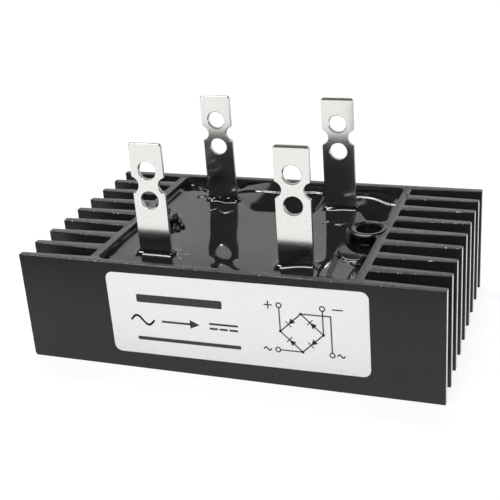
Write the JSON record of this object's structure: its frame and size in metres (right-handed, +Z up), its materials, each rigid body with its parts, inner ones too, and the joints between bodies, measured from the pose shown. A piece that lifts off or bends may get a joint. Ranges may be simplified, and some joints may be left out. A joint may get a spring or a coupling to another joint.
{
  "type": "bridge rectifier",
  "caption": "Potted bridge rectifier module in a black finned heat sink, with upright flat terminals, mounting holes and a front sticker, turning AC into DC.",
  "frame": {"origin": "middle of the heat sink's underside", "axes": "+X along the block to the right as seen from the label, +Y from the label to the back, +Z up"},
  "size_m": [0.1006, 0.0599, 0.0535],
  "materials": {
    "heat_sink": "black satin, sawn top edges",
    "potting": "mirror gloss resin",
    "terminal": "bright nickel plate",
    "label": "smooth white sticker",
    "ceramic": "white alumina",
    "copper": "bare copper",
    "silicon": "grey silicon"
  },
  "bodies": {
    "root": {"heat_sink": "heat_sink", "potting": "potting", "label": "label", "terminal_ac_left": "terminal", "terminal_ac_right": "terminal", "terminal_plus": "terminal", "terminal_minus": "terminal", "ceramic_plate": "ceramic", "pad_ac_left": "copper", "pad_ac_right": "copper", "diode_left_plus": "silicon", "diode_left_minus": "silicon", "diode_right_plus": "silicon", "diode_right_minus": "silicon", "contact_left_plus": "copper", "contact_left_minus": "copper", "contact_right_plus": "copper", "contact_right_minus": "copper", "strap_plus": "copper", "strap_minus": "copper"}
  },
  "joints": []
}
